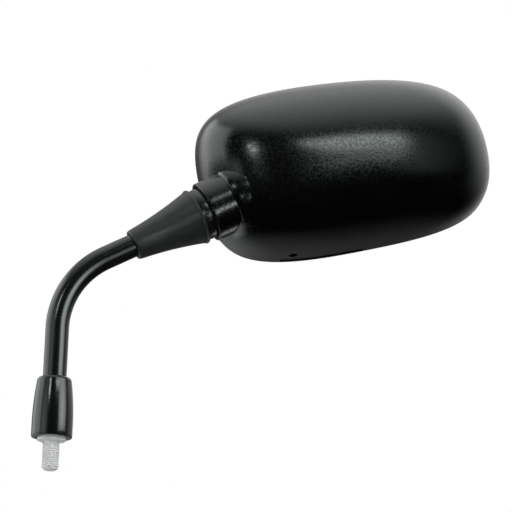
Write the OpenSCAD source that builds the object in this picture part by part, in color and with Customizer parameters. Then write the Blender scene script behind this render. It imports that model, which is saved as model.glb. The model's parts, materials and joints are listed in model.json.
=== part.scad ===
// Motorcycle mirror for the left handlebar: threaded foot, bent stem, ball joint under a boot,
// deep moulded housing and convex glass. The stud points down, the head reaches along +X and
// the glass looks along +Y. The origin is the centre of the seating face above the stud.

/* [Foot] */
// Diameter of the stud that screws into the handlebar clamp
stud_d = 10; // [8:1:10]
// Length of the stud below the seating face
stud_l = 17; // [12:1:25]
// Width across the flats of the adaptor's hexagon and of the lock nut
hex_af = 14; // [13:1:14]
// Height of the adaptor above its seating face
adaptor_h = 14; // [10:1:16]
// Thickness of the lock nut
nut_h = 6; // [4:1:7]

/* [Nut cover] */
// Largest diameter of the nut cover
cover_d = 23.6; // [22:0.2:26]
// Height of the nut cover
cover_h = 35.2; // [32:0.2:38]
// Radius of the cover's long side curve
cover_side_r = 170; // [120:10:300]

/* [Stem] */
// Diameter of the stem
stem_d = 13.6; // [12:0.1:15]
// Height at which the stem starts to bend
bend_z = 66; // [64:1:75]
// Radius of the bend, to the middle of the stem
bend_r = 50; // [45:1:60]
// Angle of the neck above the horizontal
neck_rise = 28.8; // [20:0.2:40]
// Distance from the end of the bend to the middle of the ball
neck_l = 63.6; // [60:0.2:70]

/* [Ball joint] */
// Radius of the ball
ball_r = 9.5; // [9:0.1:9.6]
// Radius of the socket's outer neck, which the boot runs over
neck_r = 15.5; // [15.2:0.1:15.7]
// Outer radius of the housing's sleeve, which the socket sits in
sleeve_r = 18.1; // [17.6:0.1:18.4]
// Length of the boot, measured along the neck
boot_l = 42.4; // [40:0.2:45]
// Radius of the boot's small end
boot_end_r = 9; // [8.6:0.1:9.4]
// Radius of the boot's mouth
boot_mouth_r = 16.8; // [16.6:0.1:16.9]
// How far the boot's side is hollowed between its ends
boot_hollow = 1.05; // [0.4:0.05:1.4]

/* [Housing] */
// Depth of the housing from its rim to the crown of its back
shell_depth = 54; // [50:1:56]
// Wall thickness of the housing
wall = 2.6; // [2:0.1:3]
// Roundness of the back: 2 is an ellipse, more is boxier
crown = 2.8; // [2.6:0.1:3.2]
// Share of the width that the left and right walls lose towards the back
draft_x = 0.03; // [0:0.01:0.06]
// Share of the height that the top and bottom walls lose towards the back
draft_z = 0.16; // [0.12:0.01:0.2]
// How far the housing swells round the foot of its sleeve
swell = 3; // [2.4:0.2:5]

/* [Glass] */
// Radius of the glass's convex face
glass_r = 1200; // [1000:50:1400]
// Thickness of the glass
glass_t = 2.2; // [1.8:0.1:2.6]
// Gap between the glass and the housing's inner wall
glass_gap = 1.6; // [1.4:0.1:2]

/* [Hidden] */
$fn = 64;

// Foot
stud_r = stud_d / 2;
stud_chamfer = 1.8;
stud_tip_r = stud_r - 1.6;
flange_r = 8.3;
flange_h = 2.5;
hex_r = hex_af / 2 / cos(30);
tail_r = 4.95;
bore_r = 5;
tail_z = 3.5;
nut_z = adaptor_h;
nut_bevel = 1.2;
rod_z = nut_z + nut_h + 3;

// Nut cover
cover_z = 1.8;
cover_r = cover_d / 2;
cover_low = 8;
cover_bore = 8.8;
cover_grip = 7;
cover_shoulder = 2.6;

// Stem
stem_r = stem_d / 2;
turn = 90 - neck_rise;
bend_end = [bend_r * (1 - cos(turn)), 0, bend_z + bend_r * sin(turn)];
neck_dir = [cos(neck_rise), 0, sin(neck_rise)];
ball_at = bend_end + neck_l * neck_dir;
neck_step = 0.02;

// Ball joint, measured along the neck from the middle of the ball, positive towards the housing
seat_gap = 0.15;
seat_t = 3.05;
seat_r = ball_r + seat_gap + seat_t;
cavity_r = seat_r + seat_gap;
throat_r = 4.5;
shoulder_s = -16;
shoulder_h = 3;
shoulder_r = 6.35;
shank_r = 4;
shank_l = 17;
stem_end_s = shoulder_s - shoulder_h;
seat_open = 40;
neck_open = 36;
seat_front_end = -2;
seat_rear_start = 1;
seat_rear_l = 10.5;
cup_boss_h = 2;
cup_boss_r = 6.4;
washer_s = seat_rear_start + seat_rear_l + 0.05;
washer_t = 1;
washer_in_r = 6.7;
plate_s = 21.5;
plate_t = 2;
clip_s = plate_s + plate_t + 0.05;
clip_t = 1.2;
clip_r = 13.6;
clip_in_r = 11.2;
groove_gap = 0.1;
socket_r = 16.2;
socket_s = 3.2;
socket_end_s = 27;
boot_mouth_s = -3.4;
boot_end_s = boot_mouth_s - boot_l;
boot_gap = 0.3;
relief_y = 14.3;
relief_s = 9;

// Disc springs, stacked with their cones turned by turns
disc_n = 4;
disc_t = 1.1;
disc_out_r = 12.2;
disc_in_r = 6.8;
disc_gap = 0.04;
disc_pitch = (plate_s - washer_s - washer_t) / disc_n;
disc_cone = disc_pitch - disc_gap - disc_t;

// Bracket inside the housing, in the neck's frame: distance to the side and along the neck
fork_x = 13.2;
fork_t = 3.2;
foot_y = -9;
foot_t = 3;
ear_r = 5.5;
ear_places = [[-21, 38], [21, 38], [-12, 58], [12, 58]];
window_r = 7;

// Housing: the outline of the rim is a smooth closed curve drawn by eight control points
head_x = 168;
head_z = 180;
rim_y = 23;
rim_round = 1.4;
rim_flat = 0.4;
rim_points = [[92, 17], [70, 66], [-14, 56], [-96, 32], [-88, -16], [-71, -71], [17, -49], [89, -27]];
drift = [-3, -8];
steps = 8;
rows = 13;
first_row = 8;
last_row = 88;
post_places = [[124, 213], [228, 208], [228, 162], [166, 141]];
post_r = 4;
gusset_l = 9;
gusset_t = 1.6;
screw_r = 1.4;
pilot_r = 1.46;
pilot_fn = 24;
clearance_r = 1.9;
screw_head_r = 3.2;
screw_head_h = 2.2;
pad_outline = [[131.5, 20.5], [181.3, 20.5], [175.5, -5], [126, -5]];
pad_depth = 0.5;
drain_at = [138, 13];
drain_r = 2.6;
sleeve_s = 2.2;
sleeve_gap = 0.1;
swell_s = 17;
swell_l = 12;
swell_end_s = 40;

// Glass pack
face_y = rim_y - 0.6;
carrier_t = 2;
foam_t = 0.8;
stack_t = glass_t + foam_t + carrier_t;
head_recess = 1;
carrier_head_h = 0.7;
post_gap = 0.25;

function unit(v) = v / norm(v);

// Closed cubic B-spline through a ring of control points, counter-clockwise seen from behind
function closed_curve(p, n) = [
    for (i = [0 : len(p) - 1], k = [0 : n - 1])
        let (t = k / n, a = p[i], b = p[(i + 1) % len(p)], c = p[(i + 2) % len(p)], d = p[(i + 3) % len(p)])
        (pow(1 - t, 3) * a + (3 * pow(t, 3) - 6 * t * t + 4) * b
            + (3 * (t + t * t - pow(t, 3)) + 1) * c + pow(t, 3) * d) / 6
];

// Moves a closed outline inwards by w
function inset(p, w) = [
    for (i = [0 : len(p) - 1])
        let (t = unit(p[(i + 1) % len(p)] - p[(i + len(p) - 1) % len(p)]))
        p[i] - w * [t[1], -t[0]]
];

rim_curve = closed_curve(rim_points, steps);

// Share of its depth and of its width that the back has at the angle t of its profile
function depth_share(t) = pow(sin(t), 2 / crown);
function width_share(t, draft) = (1 - draft * depth_share(t)) * pow(cos(t), 2 / crown);

// Ring of the shell at a profile angle, moved inwards by w
function shell_ring(t, w) = [
    for (p = inset(rim_curve, w))
        [head_x + drift[0] * pow(depth_share(t), 1.5) + width_share(t, draft_x) * p[0],
         rim_y - (shell_depth - w) * depth_share(t),
         head_z + drift[1] * pow(depth_share(t), 1.5) + width_share(t, draft_z) * p[1]]
];

// Profile angle at which the shell lies d below its rim
function angle_at(d) = asin(pow(d / shell_depth, crown / 2));

// Profile angle of a row, counted from the rim
function row_angle(j) = first_row + (last_row - first_row) * j / rows;

// Ring moved along Y to y
function ring_at_y(ring, y) = [for (p = ring) [p[0], y, p[2]]];

// Outline in X and Z of a ring
function flat(ring) = [for (p = ring) [p[0], p[2]]];

// Crown point of the shell moved inwards by w
function crown_point(w) = [head_x + drift[0], rim_y - shell_depth + w, head_z + drift[1]];

// Closed body through rings of equal length, from the first end point to the last
module skin(rings, first, last) {
    n = len(rings[0]);
    m = len(rings);
    points = concat([for (r = rings, p = r) p], [first, last]);
    sides = [for (j = [0 : m - 2], i = [0 : n - 1], h = [0, 1])
        h == 0 ? [j * n + i, (j + 1) * n + (i + 1) % n, (j + 1) * n + i]
               : [j * n + i, j * n + (i + 1) % n, (j + 1) * n + (i + 1) % n]];
    start = [for (i = [0 : n - 1]) [m * n, (i + 1) % n, i]];
    end = [for (i = [0 : n - 1]) [m * n + 1, (m - 1) * n + i, (m - 1) * n + (i + 1) % n]];
    polyhedron(points, concat(sides, start, end), convexity = 6);
}

// Solid inside the shell's surface moved inwards by w, closed at the height top
module shell_body(w, top) {
    rings = concat([for (j = [rows : -1 : 0]) shell_ring(row_angle(j), w)],
                   [ring_at_y(shell_ring(0, w), top)]);
    skin(rings, crown_point(w), [head_x, top, head_z]);
}

// Wall of the housing: up the outside, over the rounded rim and down the inside
module shell_wall() {
    outside = [for (j = [rows : -1 : 0]) shell_ring(row_angle(j), 0)];
    rim = [for (a = [0, 35, 70, 90])
        ring_at_y(shell_ring(0, rim_round * (1 - cos(a))), rim_y - rim_round * (1 - sin(a)))];
    edge = [ring_at_y(shell_ring(0, wall - rim_flat), rim_y), ring_at_y(shell_ring(0, wall), rim_y - rim_flat)];
    inside = [for (j = [0 : rows]) shell_ring(row_angle(j), wall)];
    skin(concat(outside, rim, edge, inside), crown_point(0), crown_point(wall));
}

// Places its children on the neck's axis: local Z runs towards the housing from the ball's middle
module on_neck() {
    translate(ball_at) rotate([0, turn, 0]) children();
}

// Places its children at each ear of the bracket, with local Z towards the glass
module at_ears(y) {
    on_neck() for (p = ear_places)
        translate([p[0], y, p[1]]) rotate([-90, 0, 0]) children();
}

// Places its children at each post of the glass carrier, with local Z towards the glass
module at_posts(d) {
    for (p = post_places)
        translate([p[0], stack_y(d, p), p[1]]) rotate([-90, 0, 0]) children();
}

// Revolved wall between two stations along the local Z axis
module tube(r_out, r_in, z0, z1) {
    difference() {
        translate([0, 0, z0]) cylinder(r = r_out, h = z1 - z0);
        translate([0, 0, z0 - 1]) cylinder(r = r_in, h = z1 - z0 + 2);
    }
}

module hex_prism(z0, z1) {
    translate([0, 0, z0]) cylinder(r = hex_r, h = z1 - z0, $fn = 6);
}

// Pan-head screw, with the underside of its head at the origin and its shank along -Z
module screw(r, length, head_r, head_h) {
    slot_w = 0.8;
    translate([0, 0, -length]) cylinder(r = r, h = length);
    difference() {
        cylinder(r1 = head_r, r2 = head_r * 0.8, h = head_h);
        for (a = [0, 90])
            rotate([0, 0, a]) translate([-head_r / 2, -slot_w / 2, head_h * 0.45])
                cube([head_r, slot_w, head_h]);
    }
}

module adaptor() {
    color("silver") difference() {
        union() {
            translate([0, 0, -stud_l]) cylinder(r1 = stud_tip_r, r2 = stud_r, h = stud_chamfer);
            translate([0, 0, stud_chamfer - stud_l]) cylinder(r = stud_r, h = stud_l - stud_chamfer);
            cylinder(r = flange_r, h = flange_h);
            hex_prism(flange_h, adaptor_h);
        }
        translate([0, 0, tail_z - 0.3]) cylinder(r = bore_r, h = adaptor_h);
    }
}

module lock_nut() {
    color("silver") difference() {
        intersection() {
            hex_prism(nut_z, nut_z + nut_h);
            translate([0, 0, nut_z]) union() {
                cylinder(r1 = hex_af / 2, r2 = hex_af / 2 + 2, h = nut_bevel);
                translate([0, 0, nut_bevel]) cylinder(r = hex_af / 2 + 2, h = nut_h - 2 * nut_bevel);
                translate([0, 0, nut_h - nut_bevel]) cylinder(r1 = hex_af / 2 + 2, r2 = hex_af / 2, h = nut_bevel);
            }
        }
        translate([0, 0, nut_z - 1]) cylinder(r = tail_r, h = nut_h + 2);
    }
}

// Radius of the cover's side curve at a height above the cover's foot
function cover_side(z) = cover_r - cover_side_r
    + sqrt(pow(cover_side_r, 2) - pow(max(0, z - cover_low), 2));

module nut_cover() {
    top_r = cover_side(cover_h - cover_shoulder);
    side = [for (i = [0 : 10]) let (z = 1 + (cover_h - cover_shoulder - 1) * i / 10) [cover_side(z), z]];
    shoulder = [for (a = [15 : 15 : 90])
        [top_r - cover_shoulder * (1 - cos(a)), cover_h - cover_shoulder * (1 - sin(a))]];
    color("#101010") translate([0, 0, cover_z]) rotate_extrude() polygon(concat(
        [[cover_bore, 0], [cover_r - 0.5, 0]], side, shoulder,
        [[stem_r + 0.1, cover_h], [stem_r + 0.1, cover_h - cover_grip],
         [cover_bore, cover_h - cover_grip - 3]]));
}

// Round rod with a threaded tail, one bend, and a tapped neck end for the ball stud
module stem() {
    color("#151515") {
        translate([0, 0, tail_z]) cylinder(r1 = tail_r - 1, r2 = tail_r, h = 1);
        translate([0, 0, tail_z + 1]) cylinder(r = tail_r, h = rod_z - tail_z - 1);
        translate([0, 0, rod_z]) cylinder(r1 = stem_r - 1, r2 = stem_r, h = 1);
        translate([0, 0, rod_z + 1]) cylinder(r = stem_r, h = bend_z - rod_z - 1);
        translate([bend_r, 0, bend_z]) rotate([90, 0, 180]) rotate_extrude(angle = turn)
            translate([bend_r, 0]) circle(r = stem_r);
        // The neck starts half a millimetre inside the bend, a hair thinner than the bend
        on_neck() difference() {
            translate([0, 0, -neck_l - 0.5]) cylinder(r = stem_r - neck_step, h = neck_l + 0.5 + stem_end_s);
            translate([0, 0, stem_end_s - shank_l - 1]) cylinder(r = shank_r, h = shank_l + 2);
        }
    }
}

module ball_stud() {
    color("silver") on_neck() {
        sphere(r = ball_r);
        translate([0, 0, shoulder_s]) cylinder(r = throat_r, h = -shoulder_s);
        translate([0, 0, stem_end_s]) cylinder(r = shoulder_r, h = shoulder_h, $fn = 6);
        translate([0, 0, stem_end_s - shank_l]) cylinder(r = shank_r, h = shank_l);
    }
}

// Radius of the boot's hollowed side at the share u of its length, from the small end
function boot_side(u) = boot_end_r + (boot_mouth_r - boot_end_r) * u - 4 * boot_hollow * u * (1 - u);

module boot() {
    side = [for (u = [0.05 : 0.09 : 0.95]) [boot_side(u), boot_end_s + boot_l * u]];
    color("#1c1c1c") on_neck() difference() {
        rotate_extrude() polygon(concat(
            [[stem_r, boot_end_s], [boot_end_r - 1, boot_end_s], [boot_end_r - 0.3, boot_end_s + 0.4],
             [boot_end_r, boot_end_s + 1.2]], side,
            [[boot_mouth_r, boot_mouth_s - 1.2], [boot_mouth_r, boot_mouth_s - 0.5],
             [boot_mouth_r - 0.3, boot_mouth_s], [boot_mouth_r - 3, boot_mouth_s],
             [boot_mouth_r - 4.4, boot_mouth_s - 9], [stem_r + 0.8, boot_end_s + 13],
             [stem_r, boot_end_s + 11]]));
        sphere(r = neck_r + boot_gap);
    }
}

module seat_front() {
    color("ivory") on_neck() difference() {
        sphere(r = seat_r);
        sphere(r = ball_r + seat_gap);
        translate([0, 0, -2 * seat_r]) cylinder(r1 = 2 * seat_r * tan(seat_open), r2 = 0, h = 2 * seat_r);
        translate([0, 0, seat_front_end]) cylinder(r = seat_r + 1, h = 2 * seat_r);
    }
}

module seat_rear() {
    color("ivory") on_neck() difference() {
        union() {
            translate([0, 0, seat_rear_start]) cylinder(r = seat_r, h = seat_rear_l);
            translate([0, 0, seat_rear_start + seat_rear_l]) cylinder(r = cup_boss_r, h = cup_boss_h);
        }
        sphere(r = ball_r + seat_gap);
    }
}

module thrust_washer() {
    color("silver") on_neck()
        tube(seat_r - 0.4, washer_in_r, washer_s, washer_s + washer_t);
}

// Conical disc whose inner and outer edges start at the heights in_z and out_z
module disc(in_z, out_z) {
    rotate_extrude() polygon([[disc_in_r, in_z], [disc_out_r, out_z], [disc_out_r, out_z + disc_t],
                              [disc_in_r, in_z + disc_t]]);
}

module disc_springs() {
    color("dimgray") on_neck() for (i = [0 : disc_n - 1])
        translate([0, 0, washer_s + washer_t + disc_gap / 2 + i * disc_pitch])
            disc(i % 2 == 0 ? disc_cone : 0, i % 2 == 0 ? 0 : disc_cone);
}

// Disc with a central hole and two holes for a pin spanner, which carries the disc springs
module retainer_plate() {
    color("silver") on_neck() difference() {
        tube(seat_r, 5, plate_s, plate_s + plate_t);
        for (x = [-8.5, 8.5])
            translate([x, 0, plate_s - 1]) cylinder(r = 1.5, h = plate_t + 2);
    }
}

// Spring ring in the socket's groove, open on the side of the glass, with two pierced lugs
module circlip() {
    lug_a = 22;
    color("dimgray") on_neck() difference() {
        union() {
            tube(clip_r, clip_in_r, clip_s, clip_s + clip_t);
            for (a = [90 - lug_a, 90 + lug_a])
                rotate([0, 0, a]) translate([clip_in_r - 0.6, 0, clip_s]) cylinder(r = 1.9, h = clip_t);
        }
        translate([-2.4, 2, clip_s - 1]) cube([4.8, 20, clip_t + 2]);
        for (a = [90 - lug_a, 90 + lug_a])
            rotate([0, 0, a]) translate([clip_in_r - 0.8, 0, clip_s - 1]) cylinder(r = 0.8, h = clip_t + 2);
    }
}

// Spherical neck, socket and the forked foot that is screwed into the housing
module socket_bracket() {
    color("#181818") on_neck() difference() {
        union() {
            difference() {
                sphere(r = neck_r);
                translate([0, 0, socket_s + 1]) cylinder(r = neck_r + 1, h = neck_r);
            }
            translate([0, 0, socket_s]) cylinder(r = socket_r, h = socket_end_s - socket_s);
            for (x = [-fork_x, fork_x + fork_t])
                fork_arm(x);
            bracket_foot();
        }
        sphere(r = cavity_r);
        cylinder(r = cavity_r, h = socket_end_s + 20);
        translate([0, 0, clip_s - groove_gap / 2])
            cylinder(r = clip_r + groove_gap, h = clip_t + groove_gap);
        translate([0, 0, -2 * neck_r]) cylinder(r1 = 2 * neck_r * tan(neck_open), r2 = 0, h = 2 * neck_r);
        translate([-25, relief_y, relief_s]) cube([50, 20, 30]);
    }
}

// One arm of the fork, which ends at the side x of the neck's axis
module fork_arm(x) {
    translate([x, 0, 0]) rotate([0, -90, 0]) linear_extrude(fork_t) polygon([
        [21, 6], [21, -4], [27, -4], [33, foot_y], [51, foot_y], [51, foot_y + foot_t], [41, 6]]);
}

// Flat foot with four ears and a round window
module bracket_foot() {
    translate([0, foot_y + foot_t, 0]) rotate([90, 0, 0]) linear_extrude(foot_t) difference() {
        union() {
            polygon([[-21, 32.5], [21, 32.5], [21, 43.5], [16, 47], [16, 63.5], [-16, 63.5], [-16, 47],
                     [-21, 43.5]]);
            for (p = ear_places)
                translate(p) circle(r = ear_r);
        }
        translate([0, 46]) circle(r = window_r);
        for (p = ear_places)
            translate(p) circle(r = clearance_r);
    }
}

module bracket_screws() {
    color("silver") at_ears(foot_y + foot_t) screw(screw_r, 8, screw_head_r, screw_head_h);
}

// Distance along Y from the glass's crown to a point d below the face of the glass, at p in X and Z
function sag(p) = (pow(p[0] - head_x, 2) + pow(p[1] - head_z, 2)) / 2 / glass_r;
function stack_y(d, p) = face_y - d - sag(p);

// Screw post with a tapered gusset that dies out towards its foot, built downwards from the origin
module post() {
    depth = 40;
    hull() {
        translate([0, 0, -depth]) cylinder(r = post_r, h = depth, $fn = 24);
        translate([-gusset_l, -gusset_t / 2, -depth]) cube([gusset_l, gusset_t, depth * 0.8]);
    }
}

// Sleeve round the socket, and the swelling where it grows out of the housing
module sleeve() {
    edge = 0.6;
    foot = [for (a = [0 : 15 : 90]) [sleeve_r + swell * sin(a), swell_s + swell_l * (1 - cos(a))]];
    on_neck() rotate_extrude() polygon(concat(
        [[0, sleeve_s], [sleeve_r - edge, sleeve_s], [sleeve_r, sleeve_s + edge]], foot,
        [[sleeve_r + swell, swell_end_s], [0, swell_end_s]]));
}

module housing() {
    color("#141414") difference() {
        union() {
            shell_wall();
            intersection() {
                union() {
                    at_ears(foot_y) post();
                    at_posts(stack_t + post_gap) post();
                }
                shell_body(wall / 2, rim_y - 3);
            }
            difference() {
                sleeve();
                shell_body(wall / 2, rim_y + 5);
            }
        }
        on_neck() cylinder(r = socket_r + sleeve_gap, h = 40);
        at_ears(foot_y - 6) cylinder(r = pilot_r, h = 10, $fn = pilot_fn);
        at_posts(stack_t + 10) cylinder(r = pilot_r, h = 12, $fn = pilot_fn);
        translate([drain_at[0], drain_at[1], head_z - 70]) cylinder(r = drain_r, h = 40, $fn = 32);
        difference() {
            translate([0, 0, head_z - 80]) linear_extrude(60) polygon(pad_outline);
            shell_body(pad_depth, rim_y + 1);
        }
    }
}

// Slice of the glass pack between two depths below the glass's face, cut to an outline
module curved_sheet(top, bottom, outline) {
    reach = 110;
    n = 10;
    function arc(d) = [for (i = [0 : n]) let (r = reach * i / n) [r, -d - r * r / 2 / glass_r]];
    intersection() {
        translate([head_x, face_y, head_z]) rotate([-90, 0, 0])
            rotate_extrude() polygon(concat(arc(top), [for (i = [n : -1 : 0]) arc(bottom)[i]]));
        translate([0, rim_y, 0]) rotate([90, 0, 0]) linear_extrude(20) polygon(outline);
    }
}

glass_curve = inset(flat(shell_ring(angle_at(6), wall)), glass_gap);

module glass() {
    color("lightsteelblue") curved_sheet(0, glass_t, glass_curve);
}

module adhesive_pad() {
    color("#333333") curved_sheet(glass_t, glass_t + foam_t, inset(glass_curve, 4));
}

module glass_carrier() {
    color("#202020") difference() {
        curved_sheet(glass_t + foam_t, stack_t, inset(glass_curve, 0.6));
        at_posts(stack_t + 5) cylinder(r = clearance_r, h = 20);
        at_posts(stack_t - head_recess) cylinder(r = screw_head_r + 0.4, h = 20);
    }
}

module carrier_screws() {
    color("silver") at_posts(stack_t - head_recess) screw(screw_r, 9, screw_head_r, carrier_head_h);
}

module rim_seal() {
    color("#1a1a1a") translate([0, rim_y - 2.6, 0]) rotate([90, 0, 0]) linear_extrude(3.4) difference() {
        polygon(inset(glass_curve, -glass_gap + 0.4));
        polygon(glass_curve);
    }
}

adaptor();
lock_nut();
nut_cover();
stem();
ball_stud();
boot();
seat_front();
seat_rear();
thrust_washer();
disc_springs();
retainer_plate();
circlip();
socket_bracket();
bracket_screws();
housing();
glass_carrier();
carrier_screws();
adhesive_pad();
glass();
rim_seal();
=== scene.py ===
"""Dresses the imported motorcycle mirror: a moulded housing on a ball joint, a bent painted stem and a zinc foot."""

import json
import math

import bmesh
import bpy
from mathutils import Matrix, Vector


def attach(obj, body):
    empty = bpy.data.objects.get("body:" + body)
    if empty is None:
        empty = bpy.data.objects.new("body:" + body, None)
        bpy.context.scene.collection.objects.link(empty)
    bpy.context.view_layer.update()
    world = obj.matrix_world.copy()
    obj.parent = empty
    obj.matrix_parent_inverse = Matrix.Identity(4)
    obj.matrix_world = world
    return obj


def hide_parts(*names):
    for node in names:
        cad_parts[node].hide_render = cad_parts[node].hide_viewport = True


bl_info = {
    "name": "Motorcycle Mirror",
    "version": (1, 0, 0),
    "blender": (4, 5, 0),
    "location": "View3D > Sidebar > Mirror",
    "description": "Builds the visible pieces of a motorcycle mirror on its packed frame",
    "category": "Object",
}

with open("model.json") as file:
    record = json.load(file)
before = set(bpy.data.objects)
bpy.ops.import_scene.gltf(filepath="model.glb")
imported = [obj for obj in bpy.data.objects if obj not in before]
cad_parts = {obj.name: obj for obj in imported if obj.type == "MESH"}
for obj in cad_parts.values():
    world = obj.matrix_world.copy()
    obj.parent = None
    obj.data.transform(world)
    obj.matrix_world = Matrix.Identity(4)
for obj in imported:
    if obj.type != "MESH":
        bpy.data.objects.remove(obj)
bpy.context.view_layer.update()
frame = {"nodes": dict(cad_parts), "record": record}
MM = 0.001


# Sizes and colours

class FootSizes(bpy.types.PropertyGroup):
    stud_radius: bpy.props.FloatProperty(
        name="Stud radius", description="Outer radius of the stud's thread in mm", default=5.0)
    stud_length: bpy.props.FloatProperty(
        name="Stud length", description="Length of the stud below the flange in mm", default=17.0)
    pitch: bpy.props.FloatProperty(
        name="Thread pitch", description="Distance between two crests of the thread in mm", default=1.25)
    zinc_color: bpy.props.FloatVectorProperty(
        name="Zinc colour", description="Colour of the zinc plating", subtype="COLOR", default=(0.82, 0.83, 0.83))


class ArmSizes(bpy.types.PropertyGroup):
    stem_radius: bpy.props.FloatProperty(
        name="Stem radius", description="Radius of the round stem in mm", default=6.8)
    bend_height: bpy.props.FloatProperty(
        name="Bend height", description="Height at which the bend starts in mm", default=66.0)
    bend_radius: bpy.props.FloatProperty(
        name="Bend radius", description="Radius of the bend's middle line in mm", default=50.0)
    neck_rise: bpy.props.FloatProperty(
        name="Neck rise", description="Angle of the neck above the horizontal", subtype="ANGLE",
        default=math.radians(28.8))
    neck_length: bpy.props.FloatProperty(
        name="Neck length", description="Distance from the bend to the ball's middle in mm", default=63.6)
    paint_color: bpy.props.FloatVectorProperty(
        name="Paint colour", description="Colour of the stem's paint", subtype="COLOR",
        default=(0.004, 0.0043, 0.0043))
    rubber_color: bpy.props.FloatVectorProperty(
        name="Rubber colour", description="Colour of the boot's rubber", subtype="COLOR",
        default=(0.012, 0.0132, 0.0128))


class HeadSizes(bpy.types.PropertyGroup):
    depth: bpy.props.FloatProperty(
        name="Depth", description="Depth of the housing from rim to crown in mm", default=54.0)
    wall: bpy.props.FloatProperty(
        name="Wall", description="Wall thickness of the housing in mm", default=2.6)
    crown: bpy.props.FloatProperty(
        name="Crown", description="Boxiness of the back: 2 is an ellipse", default=2.8)
    grain: bpy.props.FloatProperty(
        name="Grain", description="Depth of the moulded grain in mm", default=0.01)
    plastic_color: bpy.props.FloatVectorProperty(
        name="Plastic colour", description="Colour of the housing's plastic", subtype="COLOR",
        default=(0.0014, 0.0016, 0.0015))
    glass_color: bpy.props.FloatVectorProperty(
        name="Glass colour", description="Colour of the mirror's reflection", subtype="COLOR",
        default=(0.82, 0.85, 0.86))


class StageSizes(bpy.types.PropertyGroup):
    floor_drop: bpy.props.FloatProperty(
        name="Floor", description="Depth of the floor below the seating face", subtype="DISTANCE", default=0.75)
    floor_color: bpy.props.FloatVectorProperty(
        name="Floor colour", description="Colour of the floor", subtype="COLOR", default=(0.82, 0.82, 0.82))
    background: bpy.props.FloatVectorProperty(
        name="Background", description="Colour that the camera sees behind the mirror", subtype="COLOR",
        default=(1.0, 1.0, 1.0))


def sizes(group):
    return getattr(bpy.context.scene, "mirror_" + group)


# The neck's axis

def bend_turn():
    """Angle that the bend turns the stem through."""
    return math.pi / 2 - sizes("arm").neck_rise


def ball_centre():
    arm = sizes("arm")
    turn = bend_turn()
    x = arm.bend_radius * (1 - math.cos(turn)) + arm.neck_length * math.cos(arm.neck_rise)
    z = arm.bend_height + arm.bend_radius * math.sin(turn) + arm.neck_length * math.sin(arm.neck_rise)
    return Vector((x, 0, z))


def neck_matrix():
    """Places local Z along the neck, from the ball's middle towards the housing, in mm."""
    return Matrix.Translation(ball_centre()) @ Matrix.Rotation(bend_turn(), 4, "Y")


# Mesh helpers

WELD = 1e-4  # in mm
ARC_SEGMENTS = 4
LEG_SHARE = 0.45  # the most that a rounding takes from a straight piece


def profile_edges(bm, points, closed=False):
    """A polyline of (radius, height) points in the XZ plane, ready to spin about Z."""
    verts = [bm.verts.new((r, 0, z)) for r, z in points]
    edges = [bm.edges.new(pair) for pair in zip(verts, verts[1:])]
    if closed:
        edges.append(bm.edges.new((verts[-1], verts[0])))
    return verts, edges


def revolved(points, steps, closed=True):
    """A body of revolution about Z through a profile."""
    bm = bmesh.new()
    verts, edges = profile_edges(bm, points, closed)
    bmesh.ops.spin(bm, geom=verts + edges, cent=(0, 0, 0), axis=(0, 0, 1), dvec=(0, 0, 0),
                   angle=2 * math.pi, steps=steps, use_merge=True, use_duplicate=False)
    bmesh.ops.remove_doubles(bm, verts=bm.verts, dist=WELD)
    bmesh.ops.recalc_face_normals(bm, faces=bm.faces)
    return bm


def rounded(corners):
    """A profile through corners of (radius, height, rounding); a rounding of 0 keeps a corner sharp."""
    points = [Vector(corner[:2]) for corner in corners]
    out = []
    for i, point in enumerate(points):
        rounding = corners[i][2]
        if not rounding:
            out.append(tuple(point))
            continue
        u, v = points[i - 1] - point, points[i + 1] - point
        cut = min(rounding, u.length * LEG_SHARE, v.length * LEG_SHARE)
        start, end = point + u.normalized() * cut, point + v.normalized() * cut
        for k in range(ARC_SEGMENTS + 1):
            t = k / ARC_SEGMENTS
            out.append(tuple((1 - t) ** 2 * start + 2 * t * (1 - t) * point + t * t * end))
    return out


def grow_row(bm, edges):
    """Extrudes a ring of edges in place and returns the new vertices and edges."""
    out = bmesh.ops.extrude_edge_only(bm, edges=edges)["geom"]
    return [g for g in out if isinstance(g, bmesh.types.BMVert)], [g for g in out if isinstance(g, bmesh.types.BMEdge)]


def place(bm, matrix):
    """Moves a mesh in mm to its place and turns its unit into metres."""
    bmesh.ops.transform(bm, matrix=Matrix.Scale(MM, 4) @ matrix, verts=bm.verts)


def loose_object(bm, name):
    """Turns a bmesh into an object of the scene."""
    mesh = bpy.data.meshes.new(name)
    bm.to_mesh(mesh)
    bm.free()
    obj = bpy.data.objects.new(name, mesh)
    bpy.context.scene.collection.objects.link(obj)
    return obj


def add_piece(bm, name, body, slot, nodes=(), angle=32):
    """Turns a bmesh in metres into a finished piece that rides on a body."""
    obj = loose_object(bm, name)
    obj.data.shade_smooth()
    obj.data.set_sharp_from_angle(angle=math.radians(angle))
    obj.data.materials.append(MATERIALS[slot])
    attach(obj, body)
    if nodes:
        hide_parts(*nodes)
    return obj


def cut_away(obj, cutter, operation="DIFFERENCE"):
    """Applies an exact boolean between two objects and removes the second."""
    mod = obj.modifiers.new("cut", "BOOLEAN")
    mod.operation = operation
    mod.solver = "EXACT"
    mod.object = cutter
    bpy.context.view_layer.update()
    result = bpy.data.meshes.new_from_object(obj.evaluated_get(bpy.context.evaluated_depsgraph_get()))
    obj.modifiers.clear()
    old = obj.data
    obj.data = result
    bpy.data.meshes.remove(old)
    bpy.data.objects.remove(cutter)


def smooth_copy(node, name, slot, angle):
    """Welds a copy of a CAD node of the head, so that its curved faces shade smoothly."""
    bm = bmesh.new()
    bm.from_mesh(frame["nodes"][node].data)
    bmesh.ops.remove_doubles(bm, verts=bm.verts, dist=2e-6)
    return add_piece(bm, name, "head", slot, (node,), angle)


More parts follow.
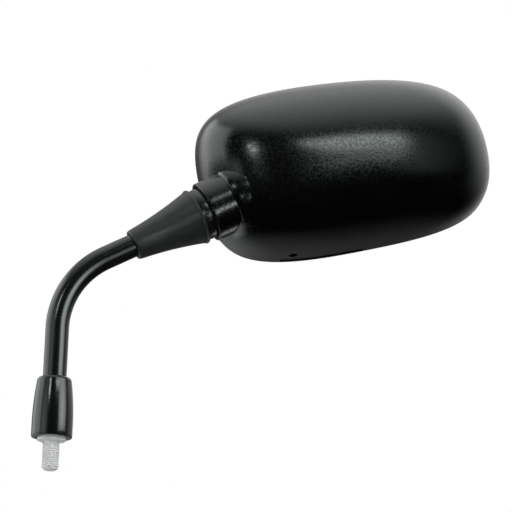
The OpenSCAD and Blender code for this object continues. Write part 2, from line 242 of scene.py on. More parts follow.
# Materials

COLD_SHEEN = (0.9, 1.0, 0.97, 1)
NOISE_LOW, NOISE_HIGH = 0.35, 0.65
TOOL_MARKS = (1, 1, 12)


def new_material(name):
    mat = bpy.data.materials.new(name)
    mat.use_nodes = True
    nodes, links = mat.node_tree.nodes, mat.node_tree.links
    shader = nodes["Principled BSDF"]
    shader.inputs["Specular Tint"].default_value = COLD_SHEEN
    coords = nodes.new("ShaderNodeTexCoord").outputs["Object"]
    return mat, nodes, links, shader, coords


def noise(nodes, links, coords, scale, detail=2.0, rough=0.5, stretch=None):
    if stretch:
        mapping = nodes.new("ShaderNodeMapping")
        mapping.inputs["Scale"].default_value = stretch
        links.new(coords, mapping.inputs["Vector"])
        coords = mapping.outputs["Vector"]
    tex = nodes.new("ShaderNodeTexNoise")
    tex.inputs["Scale"].default_value = scale
    tex.inputs["Detail"].default_value = detail
    tex.inputs["Roughness"].default_value = rough
    links.new(coords, tex.inputs["Vector"])
    return tex.outputs["Fac"]


def spread(nodes, links, value, low, high):
    """Maps a noise to a range of numbers."""
    node = nodes.new("ShaderNodeMapRange")
    node.inputs["From Min"].default_value = NOISE_LOW
    node.inputs["From Max"].default_value = NOISE_HIGH
    node.inputs["To Min"].default_value = low
    node.inputs["To Max"].default_value = high
    links.new(value, node.inputs["Value"])
    return node.outputs["Result"]


def tint(nodes, links, value, color, darkest, lightest):
    """Maps a noise to shades of a colour, given as the factors of its darkest and lightest."""
    ramp = nodes.new("ShaderNodeValToRGB")
    for element, position, factor in zip(ramp.color_ramp.elements, (NOISE_LOW, NOISE_HIGH), (darkest, lightest)):
        element.position = position
        element.color = (*(min(1.0, c * factor) for c in color), 1)
    links.new(value, ramp.inputs["Fac"])
    return ramp.outputs["Color"]


def bump(nodes, links, height, distance_mm):
    node = nodes.new("ShaderNodeBump")
    node.inputs["Distance"].default_value = distance_mm * MM
    node.inputs["Strength"].default_value = 1.0
    links.new(height, node.inputs["Height"])
    return node.outputs["Normal"]


def grained_plastic(name, color, rough, grain_mm, grain_size_mm):
    """Moulded plastic with a spark-eroded grain."""
    mat, nodes, links, shader, coords = new_material(name)
    fine = noise(nodes, links, coords, scale=1 / (grain_size_mm * MM), detail=1.0)
    wide = noise(nodes, links, coords, scale=60)
    links.new(tint(nodes, links, wide, color, 0.85, 1.15), shader.inputs["Base Color"])
    links.new(spread(nodes, links, fine, rough - 0.06, rough + 0.06), shader.inputs["Roughness"])
    links.new(bump(nodes, links, spread(nodes, links, fine, 0.0, 1.0), grain_mm), shader.inputs["Normal"])
    return mat


def gloss_black(name, color, rough, peel_mm=0.004):
    """Glossy black with the faint ripple of paint or of a polished mould."""
    mat, nodes, links, shader, coords = new_material(name)
    wide = noise(nodes, links, coords, scale=180)
    smear = noise(nodes, links, coords, scale=700, detail=4.0, rough=0.7)
    links.new(tint(nodes, links, wide, color, 0.9, 1.1), shader.inputs["Base Color"])
    links.new(spread(nodes, links, smear, rough * 0.8, rough * 1.3), shader.inputs["Roughness"])
    links.new(bump(nodes, links, wide, peel_mm), shader.inputs["Normal"])
    return mat


def matt_rubber(name, color):
    mat, nodes, links, shader, coords = new_material(name)
    fine = noise(nodes, links, coords, scale=2600, detail=4.0, rough=0.65)
    wide = noise(nodes, links, coords, scale=120, detail=3.0)
    coarse = noise(nodes, links, coords, scale=1200, detail=3.0, rough=0.6)
    links.new(tint(nodes, links, wide, color, 0.8, 1.25), shader.inputs["Base Color"])
    links.new(spread(nodes, links, fine, 0.36, 0.5), shader.inputs["Roughness"])
    links.new(bump(nodes, links, coarse, distance_mm=0.035), shader.inputs["Normal"])
    return mat


def plated_metal(name, color, rough, metallic=1.0):
    """Turned and plated steel with faint tool marks."""
    mat, nodes, links, shader, coords = new_material(name)
    marks = noise(nodes, links, coords, scale=500, detail=3.0, rough=0.6, stretch=TOOL_MARKS)
    cloud = noise(nodes, links, coords, scale=250, detail=3.0)
    links.new(tint(nodes, links, cloud, color, 0.92, 1.06), shader.inputs["Base Color"])
    links.new(spread(nodes, links, marks, rough * 0.8, rough * 1.35), shader.inputs["Roughness"])
    links.new(bump(nodes, links, marks, distance_mm=0.003), shader.inputs["Normal"])
    shader.inputs["Metallic"].default_value = metallic
    return mat


def plain_moulding(name, color, rough):
    mat, nodes, links, shader, coords = new_material(name)
    wide = noise(nodes, links, coords, scale=150, detail=3.0)
    links.new(tint(nodes, links, wide, color, 0.9, 1.08), shader.inputs["Base Color"])
    links.new(spread(nodes, links, wide, rough - 0.05, rough + 0.05), shader.inputs["Roughness"])
    return mat


def mirror_silver(name, color):
    """Silvered glass: a clean reflection with the faintest dust."""
    mat, nodes, links, shader, coords = new_material(name)
    dust = noise(nodes, links, coords, scale=900, detail=4.0, rough=0.7)
    links.new(tint(nodes, links, dust, color, 0.98, 1.0), shader.inputs["Base Color"])
    links.new(spread(nodes, links, dust, 0.015, 0.04), shader.inputs["Roughness"])
    shader.inputs["Metallic"].default_value = 1.0
    return mat


def open_foam(name, color):
    mat, nodes, links, shader, coords = new_material(name)
    cells = nodes.new("ShaderNodeTexVoronoi")
    cells.inputs["Scale"].default_value = 2500
    links.new(coords, cells.inputs["Vector"])
    links.new(tint(nodes, links, cells.outputs["Distance"], color, 0.6, 1.0), shader.inputs["Base Color"])
    links.new(bump(nodes, links, cells.outputs["Distance"], distance_mm=0.1), shader.inputs["Normal"])
    shader.inputs["Roughness"].default_value = 0.9
    return mat


MATERIALS = {}


class MIRROR_OT_materials(bpy.types.Operator):
    """Makes the finishes and puts them on the CAD nodes that stay visible"""
    bl_idname = "mirror.materials"
    bl_label = "Finishes"

    def execute(self, context):
        foot, head = sizes("foot"), sizes("head")
        paint = sizes("arm").paint_color
        MATERIALS.update({
            "zinc": plated_metal("zinc plating", foot.zinc_color, rough=0.5, metallic=0.35),
            "steel": plated_metal("bright steel", (0.5, 0.5, 0.52), rough=0.2),
            "spring_steel": plated_metal("spring steel", (0.18, 0.18, 0.19), rough=0.3),
            "stem_paint": gloss_black("stem paint", paint, rough=0.16),
            "bracket_paint": gloss_black("bracket paint", paint, rough=0.24),
            "gloss_plastic": gloss_black("cover plastic", paint, rough=0.14, peel_mm=0.008),
            "housing_plastic": grained_plastic("housing plastic", head.plastic_color, rough=0.22,
                                               grain_mm=head.grain, grain_size_mm=1.25),
            "carrier_plastic": plain_moulding("carrier plastic", (0.02, 0.02, 0.021), rough=0.5),
            "nylon": plain_moulding("nylon", (0.7, 0.68, 0.6), rough=0.35),
            "rubber": matt_rubber("rubber", sizes("arm").rubber_color),
            "foam": open_foam("foam", (0.05, 0.05, 0.055)),
            "mirror_glass": mirror_silver("mirror silver", head.glass_color),
        })
        slots = {s["node"]: s["material_slot"] for s in frame["record"]["subparts"]}
        for node, obj in frame["nodes"].items():
            obj.data.materials.clear()
            obj.data.materials.append(MATERIALS[slots[node]])
        return {"FINISHED"}


# Foot

FLANGE_R, FLANGE_H = 8.3, 2.5
HEXAGON_FLATS, HEXAGON_H = 14, 11.5
THREAD_DEPTH = 0.61  # as a share of the pitch


def thread_root():
    """Radius at the bottom of the thread."""
    foot = sizes("foot")
    return foot.stud_radius - THREAD_DEPTH * foot.pitch


def foot_core():
    """The stud's core, the flange and the neck above it, turned in one profile."""
    foot = sizes("foot")
    root, length = thread_root(), foot.stud_length
    edge, tip, undercut, neck_r, overlap = 0.3, 1.0, 0.9, 6.4, 0.1
    return revolved(rounded([
        (0, -length, 0), (root - tip, -length, 0.15), (root, tip - length, 0.3), (root, -undercut, 0), (root, 0, 0),
        (FLANGE_R - edge, 0, 0.2), (FLANGE_R, edge, 0.15),
        (FLANGE_R, FLANGE_H - edge, 0.15), (FLANGE_R - edge, FLANGE_H, 0.2),
        (neck_r, FLANGE_H, 0), (neck_r, FLANGE_H + overlap, 0), (0, FLANGE_H + overlap, 0),
    ]), steps=96, closed=False)


def stud_thread():
    """The thread's ridge: one crest spun upwards, pared down over the stud's chamfered tip."""
    foot = sizes("foot")
    r, length, pitch = foot.stud_radius, foot.stud_length, foot.pitch
    root, sunk, crest_edge, crest_flat = thread_root(), 0.02, 0.08, 0.1
    start, clear, per_turn = 1.2, 2.6, 48
    tip_h, tip_cut, tip_slope = 1.9, 1.6, 0.9
    bm = bmesh.new()
    crest = [(root - sunk, -pitch / 2), (r - crest_edge, -crest_flat), (r, 0),
             (r - crest_edge, crest_flat), (root - sunk, pitch / 2)]
    verts, edges = profile_edges(bm, crest)
    bmesh.ops.transform(bm, matrix=Matrix.Translation((0, 0, start - length)), verts=verts)
    steps = round(per_turn * (length - clear) / pitch)
    bmesh.ops.spin(bm, geom=verts + edges, cent=(0, 0, 0), axis=(0, 0, 1), dvec=(0, 0, pitch / per_turn),
                   angle=2 * math.pi * steps / per_turn, steps=steps, use_merge=False, use_duplicate=False)
    bmesh.ops.remove_doubles(bm, verts=bm.verts, dist=1e-3)
    for v in bm.verts:
        low = v.co.z + length
        if low < tip_h:
            limit = r - tip_cut + max(0.0, low) * tip_slope
            reach = math.hypot(v.co.x, v.co.y)
            if reach > limit:
                v.co.x *= limit / reach
                v.co.y *= limit / reach
            v.co.z = max(v.co.z, -length)
    bmesh.ops.recalc_face_normals(bm, faces=bm.faces)
    return bm


def foot_hexagon():
    """The bevelled hexagon above the flange."""
    bm = bmesh.new()
    corner_r = HEXAGON_FLATS / 2 / math.cos(math.pi / 6)
    bmesh.ops.create_circle(bm, cap_ends=True, segments=6, radius=corner_r)
    top = bmesh.ops.extrude_face_region(bm, geom=list(bm.faces))
    lifted = [g for g in top["geom"] if isinstance(g, bmesh.types.BMVert)]
    bmesh.ops.translate(bm, verts=lifted, vec=(0, 0, HEXAGON_H))
    bmesh.ops.bevel(bm, geom=list(bm.edges), offset=0.35, segments=3, profile=0.5, affect="EDGES", material=-1)
    bmesh.ops.recalc_face_normals(bm, faces=bm.faces)
    return bm


class MIRROR_OT_foot(bpy.types.Operator):
    """Builds the zinc adaptor with its threaded stud, flange and hexagon"""
    bl_idname = "mirror.foot"
    bl_label = "Foot"

    def execute(self, context):
        core = foot_core()
        place(core, Matrix())
        add_piece(core, "foot_core", "foot", "zinc", ("adaptor",))
        thread = stud_thread()
        place(thread, Matrix())
        add_piece(thread, "stud_thread", "foot", "zinc", angle=50)
        hexagon = foot_hexagon()
        place(hexagon, Matrix.Translation((0, 0, FLANGE_H)))
        add_piece(hexagon, "foot_hexagon", "foot", "zinc")
        return {"FINISHED"}


class MIRROR_OT_cover(bpy.types.Operator):
    """Builds the glossy sleeve that hides the hexagons"""
    bl_idname = "mirror.cover"
    bl_label = "Nut cover"

    def execute(self, context):
        stem_r = sizes("arm").stem_radius
        cover_r, side_r, height, above_face = 11.8, 170.0, 35.2, 1.8
        straight_h, shoulder_r, bore_r, grip_l, bore_end = 8, 2.6, 8.8, 7, 10
        rows, first = 20, 1

        def side(z):
            """Radius of the long side curve at a height."""
            return cover_r - side_r + math.sqrt(side_r ** 2 - max(0.0, z - straight_h) ** 2)

        heights = [first + i * (height - shoulder_r - first) / rows for i in range(rows + 1)]
        top_r = side(height - shoulder_r)
        lower_edge = [(bore_r, 0.4), (9.2, 0.05), (cover_r - 0.9, 0), (cover_r - 0.35, 0.15), (cover_r - 0.06, 0.5)]
        wall = [(side(z), z) for z in heights]
        shoulder = [(top_r - shoulder_r * (1 - math.cos(a)), height - shoulder_r * (1 - math.sin(a)))
                    for a in [math.radians(d) for d in range(9, 91, 9)]]
        bore = [(stem_r + 0.35, height), (stem_r + 0.12, height - 0.25), (stem_r + 0.1, height - grip_l),
                (bore_r, height - bore_end)]
        bm = revolved(lower_edge + wall + shoulder + bore, steps=112)
        place(bm, Matrix.Translation((0, 0, above_face)))
        add_piece(bm, "nut_sleeve", "cover", "gloss_plastic", ("nut_cover",))
        return {"FINISHED"}


# Arm

class MIRROR_OT_stem(bpy.types.Operator):
    """Builds the bent round stem by extruding and spinning one circle"""
    bl_idname = "mirror.stem"
    bl_label = "Stem"

    def execute(self, context):
        arm = sizes("arm")
        r, bend_r, turn = arm.stem_radius, arm.bend_radius, bend_turn()
        tail_r, tail_z, tail_l = 4.95, 3.6, 19.4
        step, chamfer, rod_z, rod_rows, ball_reach = 0.02, 1, 24, 4, 19
        bm = bmesh.new()
        ring = bmesh.ops.create_circle(bm, cap_ends=False, segments=64, radius=tail_r)["verts"]
        bmesh.ops.translate(bm, verts=ring, vec=(0, 0, tail_z))
        edges = list(bm.edges)
        bmesh.ops.contextual_create(bm, geom=edges)

        def grow(edges, scale, lift):
            """Extrudes a ring of edges upwards and scales it."""
            verts, edges = grow_row(bm, edges)
            bmesh.ops.scale(bm, vec=(scale, scale, 1), verts=verts)
            bmesh.ops.translate(bm, verts=verts, vec=(0, 0, lift))
            return edges

        edges = grow(edges, 1, tail_l)
        edges = grow(edges, (r - chamfer) / tail_r, step)
        edges = grow(edges, r / (r - chamfer), chamfer - step)
        for _ in range(rod_rows):
            edges = grow(edges, 1, (arm.bend_height - rod_z) / rod_rows)
        verts = list({v for e in edges for v in e.verts})
        spun = bmesh.ops.spin(bm, geom=verts + edges, cent=(bend_r, 0, arm.bend_height), axis=(0, 1, 0),
                              dvec=(0, 0, 0), angle=turn, steps=40, use_merge=False, use_duplicate=False)
        edges = [g for g in spun["geom_last"] if isinstance(g, bmesh.types.BMEdge)]
        along = Vector((math.cos(arm.neck_rise), 0, math.sin(arm.neck_rise)))
        verts, edges = grow_row(bm, edges)
        bmesh.ops.translate(bm, verts=verts, vec=along * (arm.neck_length - ball_reach))
        bmesh.ops.contextual_create(bm, geom=edges)
        bmesh.ops.recalc_face_normals(bm, faces=bm.faces)
        place(bm, Matrix())
        add_piece(bm, "painted_stem", "arm", "stem_paint", ("stem",))
        return {"FINISHED"}


class MIRROR_OT_boot(bpy.types.Operator):
    """Builds the hollowed rubber cone with its rolled ends"""
    bl_idname = "mirror.boot"
    bl_label = "Rubber boot"

    def execute(self, context):
        length, end_r, mouth_r, hollow, mouth_s = 42.4, 9.0, 16.8, 1.05, -3.4
        start, bore_r, cavity_r = mouth_s - length, 6.82, 15.8
        skin_rows, cavity_rows, cavity_step = 24, 12, 0.72

        def side(u):
            """Radius of the cone's hollowed side, from 0 at the small end to 1 at the mouth."""
            return end_r + (mouth_r - end_r) * u - 4 * hollow * u * (1 - u)

        small_end = [(bore_r, start + 0.5), (7.2, start + 0.08), (8.0, start), (8.6, start + 0.25),
                     (8.93, start + 0.8), (9.02, start + 1.5)]
        skin = [(side(u), start + length * u) for u in [0.06 + i * 0.9 / skin_rows for i in range(skin_rows + 1)]]
        bead = [(mouth_r - 0.02, mouth_s - 1.5), (mouth_r, mouth_s - 1.0), (mouth_r - 0.05, mouth_s - 0.45),
                (mouth_r - 0.35, mouth_s - 0.1), (mouth_r - 0.7, mouth_s)]
        cavity = [(math.sqrt(cavity_r ** 2 - s ** 2), s)
                  for s in [mouth_s - 0.02 - i * cavity_step for i in range(cavity_rows + 1)]]
        bore = [(7.6, start + 13), (bore_r, start + 11)]
        bm = revolved(small_end + skin + bead + cavity + bore, steps=112)
        place(bm, neck_matrix())
        add_piece(bm, "rubber_boot", "arm", "rubber", ("boot",), angle=40)
        return {"FINISHED"}


# Socket inside the sleeve

class MIRROR_OT_socket(bpy.types.Operator):
    """Smooths the spherical neck and its forked foot"""
    bl_idname = "mirror.socket"
    bl_label = "Socket"

    def execute(self, context):
        smooth_copy("socket_bracket", "ball_socket", "bracket_paint", angle=28)
        return {"FINISHED"}


# Housing: the outline of the rim is a smooth closed curve drawn by eight control points

CENTRE = Vector((168.0, 23.0, 180.0))
RIM_POINTS = ((92, 17), (70, 66), (-14, 56), (-96, 32), (-88, -16), (-71, -71), (17, -49), (89, -27))
DRIFT = (-3.0, -8.0)
DRAFT = (0.03, 0.16)
RIM_ROUNDING = 1.3
DRIFT_POWER = 1.5
SKIN_STEPS, SKIN_ROWS, ROW_CROWDING = 32, 64, 1.25
CROWN_ANGLE = math.radians(89.6)
LID_RISE = 6
FIELD_CORNERS = ((131.5, 20.5), (181.3, 20.5), (175.5, -5.0), (126.0, -5.0))
FIELD_DEPTH, FIELD_TOP = 0.5, CENTRE.z - 20
DRAIN_PLACE, DRAIN_R = (138.0, 13.0, CENTRE.z - 55), 2.6

# Sleeve, measured from the ball's middle along the neck
SLEEVE_R, SLEEVE_BORE, SLEEVE_FRONT, SLEEVE_END = 18.1, 16.3, 2.2, 40.0
SWELL, SWELL_FROM, SWELL_OVER = 3.0, 17.0, 12.0


def rim_outline(steps):
    """Points of the rim's closed curve, counter-clockwise seen from behind."""
    n = len(RIM_POINTS)
    out = []
    for i in range(n):
        a, b, c, d = (Vector(RIM_POINTS[(i + k) % n]) for k in range(4))
        for k in range(steps):
            t = k / steps
            out.append(((1 - t) ** 3 * a + (3 * t ** 3 - 6 * t * t + 4) * b
                        + (3 * (t + t * t - t ** 3) + 1) * c + t ** 3 * d) / 6)
    return out


def outline_ring(bm, steps):
    """The rim's outline as a ring of edges in the XZ plane."""
    verts = [bm.verts.new((p.x, 0, p.y)) for p in rim_outline(steps)]
    return verts, [bm.edges.new((a, b)) for a, b in zip(verts, verts[1:] + verts[:1])]


def row_place(angle):
    """Matrix that takes the flat outline to its place on the back at a profile angle."""
    head = sizes("head")
    deep = math.sin(angle) ** (2 / head.crown)
    wide = max(1e-6, math.cos(angle)) ** (2 / head.crown)
    move = Matrix.Translation((CENTRE.x + DRIFT[0] * deep ** DRIFT_POWER, CENTRE.y - head.depth * deep,
                               CENTRE.z + DRIFT[1] * deep ** DRIFT_POWER))
    return move @ Matrix.Diagonal(((1 - DRAFT[0] * deep) * wide, 1, (1 - DRAFT[1] * deep) * wide, 1))


def back_surface():
    """The back's outer skin: the rim's outline is extruded row by row towards the crown."""
    bm = bmesh.new()
    verts, edges = outline_ring(bm, SKIN_STEPS)
    last = row_place(0)
    bmesh.ops.transform(bm, matrix=last, verts=verts)
    angles = [math.radians(90) * (i / SKIN_ROWS) ** ROW_CROWDING for i in range(1, SKIN_ROWS)] + [CROWN_ANGLE]
    for angle in angles:
        verts, edges = grow_row(bm, edges)
        here = row_place(angle)
        bmesh.ops.transform(bm, matrix=here @ last.inverted(), verts=verts)
        last = here
    bmesh.ops.contextual_create(bm, geom=edges)
    bmesh.ops.recalc_face_normals(bm, faces=bm.faces)
    if sum(f.normal.y * f.calc_area() for f in bm.faces) > 0:
        bmesh.ops.reverse_faces(bm, faces=bm.faces)
    bm.normal_update()
    return bm


def push(bm, distance):
    """Moves every vertex of a skin outwards along its normal."""
    moves = [(v, v.normal.copy()) for v in bm.verts]
    for v, normal in moves:
        v.co += normal * distance


def back_body(inward, rise):
    """The solid inside the skin moved inwards, closed by a flat lid that may stand above the rim."""
    bm = back_surface()
    push(bm, -inward)
    edges = [e for e in bm.edges if e.is_boundary]
    verts = list({v for e in edges for v in e.verts})
    for v in verts:
        v.co.y = CENTRE.y
    if rise:
        verts, edges = grow_row(bm, edges)
        bmesh.ops.translate(bm, verts=verts, vec=(0, rise, 0))
    lid = bmesh.ops.contextual_create(bm, geom=edges)["faces"]
    bmesh.ops.recalc_face_normals(bm, faces=bm.faces)
    return bm, lid


def sleeve_body():
    """The sleeve and its swelling, revolved about the neck's axis."""
    inner, edge, rows = SLEEVE_BORE - 1.5, 0.7, 8
    front = [(inner, SLEEVE_FRONT), (SLEEVE_R - 0.7, SLEEVE_FRONT), (SLEEVE_R - 0.4, SLEEVE_FRONT + 0.06),
             (SLEEVE_R - 0.16, SLEEVE_FRONT + 0.2), (SLEEVE_R - 0.03, SLEEVE_FRONT + 0.42),
             (SLEEVE_R, SLEEVE_FRONT + edge)]
    step = (SWELL_FROM - SLEEVE_FRONT - edge) / rows
    middle = [(SLEEVE_R, SLEEVE_FRONT + edge + i * step) for i in range(1, rows)]
    swell = [(SLEEVE_R + SWELL * math.sin(a), SWELL_FROM + SWELL_OVER * (1 - math.cos(a)))
             for a in [math.radians(d) for d in range(0, 91, 6)]]
    end = [(SLEEVE_R + SWELL, SLEEVE_END), (inner, SLEEVE_END)]
    bm = revolved(front + middle + swell + end, steps=144)
    bmesh.ops.transform(bm, matrix=neck_matrix(), verts=bm.verts)
    return bm


def marking_field():
    """Cutter for the sunken field on the housing's underside."""
    above = 1.0
    bm = back_surface()
    sides = [((0, 0, FIELD_TOP), (0, 0, 1))]
    for (x0, y0), (x1, y1) in zip(FIELD_CORNERS, FIELD_CORNERS[1:] + FIELD_CORNERS[:1]):
        sides.append(((x0, y0, 0), (y0 - y1, x1 - x0, 0)))
    for co, no in sides:
        bmesh.ops.bisect_plane(bm, geom=list(bm.verts) + list(bm.edges) + list(bm.faces), dist=WELD,
                               plane_co=co, plane_no=no, clear_outer=True)
    push(bm, above)
    bmesh.ops.solidify(bm, geom=list(bm.faces), thickness=above + FIELD_DEPTH)
    bmesh.ops.recalc_face_normals(bm, faces=bm.faces)
    return bm


def bore_and_drain():
    """Cutter for the sleeve's bore and the drain hole."""
    bore_l, drain_l = 44, 40
    bm = bmesh.new()
    bmesh.ops.create_cone(bm, cap_ends=True, segments=144, radius1=SLEEVE_BORE, radius2=SLEEVE_BORE, depth=bore_l)
    bmesh.ops.transform(bm, matrix=neck_matrix() @ Matrix.Translation((0, 0, bore_l / 2)), verts=bm.verts)
    drain = bmesh.ops.create_cone(bm, cap_ends=True, segments=48, radius1=DRAIN_R, radius2=DRAIN_R, depth=drain_l)
    bmesh.ops.translate(bm, verts=drain["verts"], vec=DRAIN_PLACE)
    return bm


class MIRROR_OT_housing(bpy.types.Operator):
    """Builds the moulded housing with its rounded rim, sleeve, marking field and drain hole"""
    bl_idname = "mirror.housing"
    bl_label = "Housing"

    def execute(self, context):
        outside, lid = back_body(0, 0)
        rim = [e for f in lid for e in f.edges]
        bmesh.ops.bevel(outside, geom=rim, offset=RIM_ROUNDING, segments=6, profile=0.5, affect="EDGES", material=-1)
        bmesh.ops.recalc_face_normals(outside, faces=outside.faces)
        obj = loose_object(outside, "housing_outside")
        cut_away(obj, loose_object(sleeve_body(), "housing_sleeve"), "UNION")
        inside, _ = back_body(sizes("head").wall, LID_RISE)
        cut_away(obj, loose_object(inside, "housing_inside"))
        cut_away(obj, loose_object(bore_and_drain(), "housing_holes"))
        cut_away(obj, loose_object(marking_field(), "marking_cut"))

        bm = bmesh.new()
        bm.from_mesh(obj.data)
        bpy.data.objects.remove(obj)
        place(bm, Matrix())
        add_piece(bm, "moulded_housing", "head", "housing_plastic", ("housing",), angle=30)
        return {"FINISHED"}


# Glass and seal

GLASS_POLE, GLASS_RADIUS = Vector((0.168, 0.0224, 0.18)), 1.2
FACE_LIMIT = 0.98


def sphere_normals(obj):
    """Gives both faces of the glass the sphere's own normals, so that its reflections stay even."""
    centre = GLASS_POLE - Vector((0, GLASS_RADIUS, 0))
    normals = []
    for face in obj.data.polygons:
        for index in face.vertices:
            out = (obj.data.vertices[index].co - centre).normalized()
            facing = out.dot(face.normal)
            on_face = abs(facing) > FACE_LIMIT
            normals.append(out * math.copysign(1, facing) if on_face else Vector((0, 0, 0)))
    obj.data.normals_split_custom_set(normals)


class MIRROR_OT_glass(bpy.types.Operator):
    """Smooths the convex glass, the seal round it and the tray behind it"""
    bl_idname = "mirror.glass"
    bl_label = "Glass and seal"

    def execute(self, context):
        sphere_normals(smooth_copy("glass", "mirror_face", "mirror_glass", angle=20))
        smooth_copy("rim_seal", "glass_seal", "rubber", angle=40)
        smooth_copy("glass_carrier", "glass_tray", "carrier_plastic", angle=30)
        return {"FINISHED"}


# Stage: the camera's place was fitted to the mirror's outline, and the lamps to its reflections

TARGET = Vector((0.1140, 0.0, 0.1173))
AZIMUTH, ELEVATION, ROLL = math.radians(-8), math.radians(-15), math.radians(1.94)
DISTANCE, LENS, SENSOR = 1.6, 191.95, 36
FLOOR_HALF_WIDTH = 9.0
AMBIENT = 0.5

# Place, point aimed at, width, height, radiance, and the beam's angle where a honeycomb grid narrows it
HEAD = (0.17, -0.02, 0.18)
SOFTBOXES = {
    "ceiling": ((0.12, -0.15, 1.35), HEAD, 1.2, 1.0, 1.2, 180),
    "long": ((0.378, -1.09, 0.7), HEAD, 0.6, 0.27, 5.0, 180),
    "small": ((-0.462, -0.802, 0.45), (0.108, -0.024, 0.174), 0.16, 0.16, 8.0, 180),
    "near": ((0.0765, -0.064, 0.066), (0, 0, 0.04), 0.085, 0.085, 0.8, 68),
    "bend": ((0.0765, -0.064, 0.085), (0.022, 0, 0.1), 0.08, 0.06, 0.34, 50),
    "boot": ((0.054, -0.36, 0.052), (0.06, -0.013, 0.128), 0.05, 0.05, 0.2, 14),
    "foot": ((-0.034, -0.243, -0.18), (0, 0, -0.008), 0.08, 0.08, 0.12, 16),
    "left": ((-0.14, -0.1, 0.09), (0, 0, 0.06), 0.16, 0.2, 0.12, 56),
    "sleeve": ((0.158, -0.163, 0.105), (0.09, -0.018, 0.145), 0.03, 0.08, 0.13, 22),
    "under": ((0.169, 0.074, 0.06), (0.1, 0.0, 0.125), 0.05, 0.05, 0.05, 28),
}
ROUND_SOFTBOXES = ("long", "small")
UNMIRRORED_SOFTBOXES = ("ceiling",)


def add_camera(scene):
    """The camera looks at the mirror from behind and slightly below."""
    flat = math.cos(ELEVATION)
    back = Vector((math.sin(AZIMUTH) * flat, -math.cos(AZIMUTH) * flat, math.sin(ELEVATION)))
    right = Vector((math.cos(AZIMUTH), math.sin(AZIMUTH), 0))
    up = back.cross(right)
    x_axis = right * math.cos(ROLL) + up * math.sin(ROLL)
    y_axis = up * math.cos(ROLL) - right * math.sin(ROLL)
    data = bpy.data.cameras.new("camera")
    data.lens = LENS
    data.sensor_width = SENSOR
    data.clip_end = 50
    cam = bpy.data.objects.new("camera", data)
    scene.collection.objects.link(cam)
    pose = Matrix((x_axis, y_axis, back)).transposed().to_4x4()
    pose.translation = TARGET + back * DISTANCE
    cam.matrix_world = pose
    scene.camera = cam


def add_floor(stage):
    """A pale floor that keeps the shadow and that glossy surfaces don't see."""
    bm = bmesh.new()
    bmesh.ops.create_grid(bm, x_segments=8, y_segments=8, size=FLOOR_HALF_WIDTH)
    bmesh.ops.translate(bm, verts=bm.verts, vec=(0.1, 0, -stage.floor_drop))
    floor = loose_object(bm, "floor")
    mat, _, _, shader, _ = new_material("floor")
    shader.inputs["Base Color"].default_value = (*stage.floor_color, 1)
    shader.inputs["Roughness"].default_value = 0.8
    floor.data.materials.append(mat)
    floor.visible_glossy = False


def add_softbox(name, place, aim, width, height, radiance, beam):
    """A lamp that faces a point and shines with an even brightness."""
    data = bpy.data.lights.new(name + " softbox", "AREA")
    data.shape = "ELLIPSE" if name in ROUND_SOFTBOXES else "RECTANGLE"
    data.size = width
    data.size_y = height
    data.energy = radiance * math.pi * width * height
    data.spread = math.radians(beam)
    obj = bpy.data.objects.new(name + " softbox", data)
    bpy.context.scene.collection.objects.link(obj)
    obj.location = place
    obj.rotation_euler = (Vector(place) - Vector(aim)).to_track_quat("Z", "Y").to_euler()
    obj.visible_camera = False
    obj.visible_glossy = name not in UNMIRRORED_SOFTBOXES


def soft_step(nodes, links, value, start, end):
    """A soft step from 0 to 1 between two values."""
    node = nodes.new("ShaderNodeMapRange")
    node.interpolation_type = "SMOOTHSTEP"
    node.inputs["From Min"].default_value = start
    node.inputs["From Max"].default_value = end
    node.inputs["To Min"].default_value = 0.0
    node.inputs["To Max"].default_value = 1.0
    links.new(value, node.inputs["Value"])
    return node.outputs["Result"]


def math_node(nodes, links, operation, a, b):
    node = nodes.new("ShaderNodeMath")
    node.operation = operation
    for socket, value in zip(node.inputs, (a, b)):
        if isinstance(value, (int, float)):
            socket.default_value = value
        else:
            links.new(value, socket)
    return node.outputs[0]


def room(nodes, links):
    """The brightness that glossy surfaces see in each direction; the front of the room is dark."""
    way = nodes.new("ShaderNodeSeparateXYZ")
    links.new(nodes.new("ShaderNodeTexCoord").outputs["Generated"], way.inputs[0])
    x, y, z = way.outputs

    def area(brightness, *steps):
        """Product of soft steps, each given as a coordinate with its start and end."""
        light = brightness
        for value, start, end in steps:
            light = math_node(nodes, links, "MULTIPLY", soft_step(nodes, links, value, start, end), light)
        return light

    window = area(2.3, (x, -0.25, -0.5), (y, -0.3, -0.18), (y, 0.98, 0.6), (z, 0.02, 0.12), (z, 0.78, 0.66))
    wall = area(1.9, (y, -0.35, 0.35), (x, -0.6, 0.6), (z, -0.45, 1.2))
    haze = area(0.75, (y, 0.3, 0.8), (x, 0.5, -0.45), (z, 0.1, -0.3))
    low_wall = area(1.8, (x, -0.35, -0.5), (y, 0.0, 0.2), (z, -0.42, -0.55), (z, -0.82, -0.72))
    ceiling = area(1.8, (z, 0.5, 1.12))
    side_glow = area(0.5, (x, 0.28, 0.48), (x, 1.0, 0.35), (y, 0.0, -0.4), (z, 0.02, 0.25), (z, 0.62, 0.42))
    floor_glow = area(0.24, (x, -0.5, -0.1), (x, 0.65, 0.05), (y, 0.1, 0.6), (z, -0.1, -0.45))
    light = window
    for part in (wall, haze, low_wall, ceiling, side_glow, floor_glow):
        light = math_node(nodes, links, "MAXIMUM", light, part)
    return light


def background_node(nodes, color, strength=1.0):
    node = nodes.new("ShaderNodeBackground")
    node.inputs["Color"].default_value = (*color, 1)
    node.inputs["Strength"].default_value = strength
    return node


def mix_shaders(nodes, links, factor, first, second):
    node = nodes.new("ShaderNodeMixShader")
    links.new(factor, node.inputs["Fac"])
    links.new(first, node.inputs[1])
    links.new(second, node.inputs[2])
    return node.outputs[0]


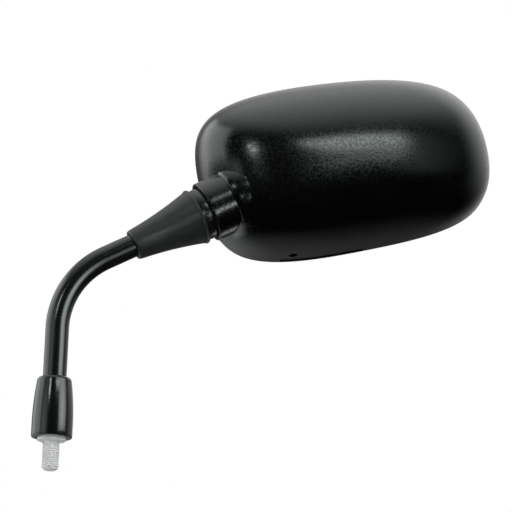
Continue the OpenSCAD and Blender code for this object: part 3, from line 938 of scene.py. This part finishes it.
def add_world(scene, background):
    """Plain for the camera and through glass, the room for glossy surfaces, soft grey light for the rest."""
    world = bpy.data.worlds.new("studio")
    scene.world = world
    world.use_nodes = True
    nodes, links = world.node_tree.nodes, world.node_tree.links
    nodes.clear()
    path = nodes.new("ShaderNodeLightPath")
    ambient = background_node(nodes, (1, 1, 1), AMBIENT)
    mirrored = background_node(nodes, background)
    links.new(room(nodes, links), mirrored.inputs["Strength"])
    plain = background_node(nodes, background)
    seen = math_node(nodes, links, "MAXIMUM", path.outputs["Is Camera Ray"], path.outputs["Is Transmission Ray"])
    unseen = mix_shaders(nodes, links, path.outputs["Is Glossy Ray"], ambient.outputs[0], mirrored.outputs[0])
    surface = mix_shaders(nodes, links, seen, unseen, plain.outputs[0])
    links.new(surface, nodes.new("ShaderNodeOutputWorld").inputs["Surface"])


class MIRROR_OT_stage(bpy.types.Operator):
    """Sets the camera, the floor, the lamps and the world"""
    bl_idname = "mirror.stage"
    bl_label = "Stage"

    def execute(self, context):
        stage = sizes("stage")
        add_camera(context.scene)
        add_floor(stage)
        for name, values in SOFTBOXES.items():
            add_softbox(name, *values)
        add_world(context.scene, stage.background)
        context.scene.view_settings.view_transform = "Standard"
        return {"FINISHED"}


class MIRROR_PT_panel(bpy.types.Panel):
    bl_idname = "MIRROR_PT_panel"
    bl_label = "Motorcycle Mirror"
    bl_space_type = "VIEW_3D"
    bl_region_type = "UI"
    bl_category = "Mirror"

    def draw(self, context):
        for group in GROUPS:
            for name in GROUPS[group].__annotations__:
                self.layout.prop(sizes(group), name)
        for operator in OPERATORS:
            self.layout.operator(operator.bl_idname)


GROUPS = {"foot": FootSizes, "arm": ArmSizes, "head": HeadSizes, "stage": StageSizes}
OPERATORS = (MIRROR_OT_materials, MIRROR_OT_foot, MIRROR_OT_cover, MIRROR_OT_stem, MIRROR_OT_boot, MIRROR_OT_socket,
             MIRROR_OT_housing, MIRROR_OT_glass, MIRROR_OT_stage)


def register():
    for cls in (*GROUPS.values(), *OPERATORS, MIRROR_PT_panel):
        bpy.utils.register_class(cls)
    for group, cls in GROUPS.items():
        setattr(bpy.types.Scene, "mirror_" + group, bpy.props.PointerProperty(type=cls))


def unregister():
    for group in GROUPS:
        delattr(bpy.types.Scene, "mirror_" + group)
    for cls in reversed((*GROUPS.values(), *OPERATORS, MIRROR_PT_panel)):
        bpy.utils.unregister_class(cls)


def main():
    register()
    for step in ("materials", "foot", "cover", "stem", "boot", "socket", "housing", "glass", "stage"):
        getattr(bpy.ops.mirror, step)()


if __name__ == "__main__":
    main()
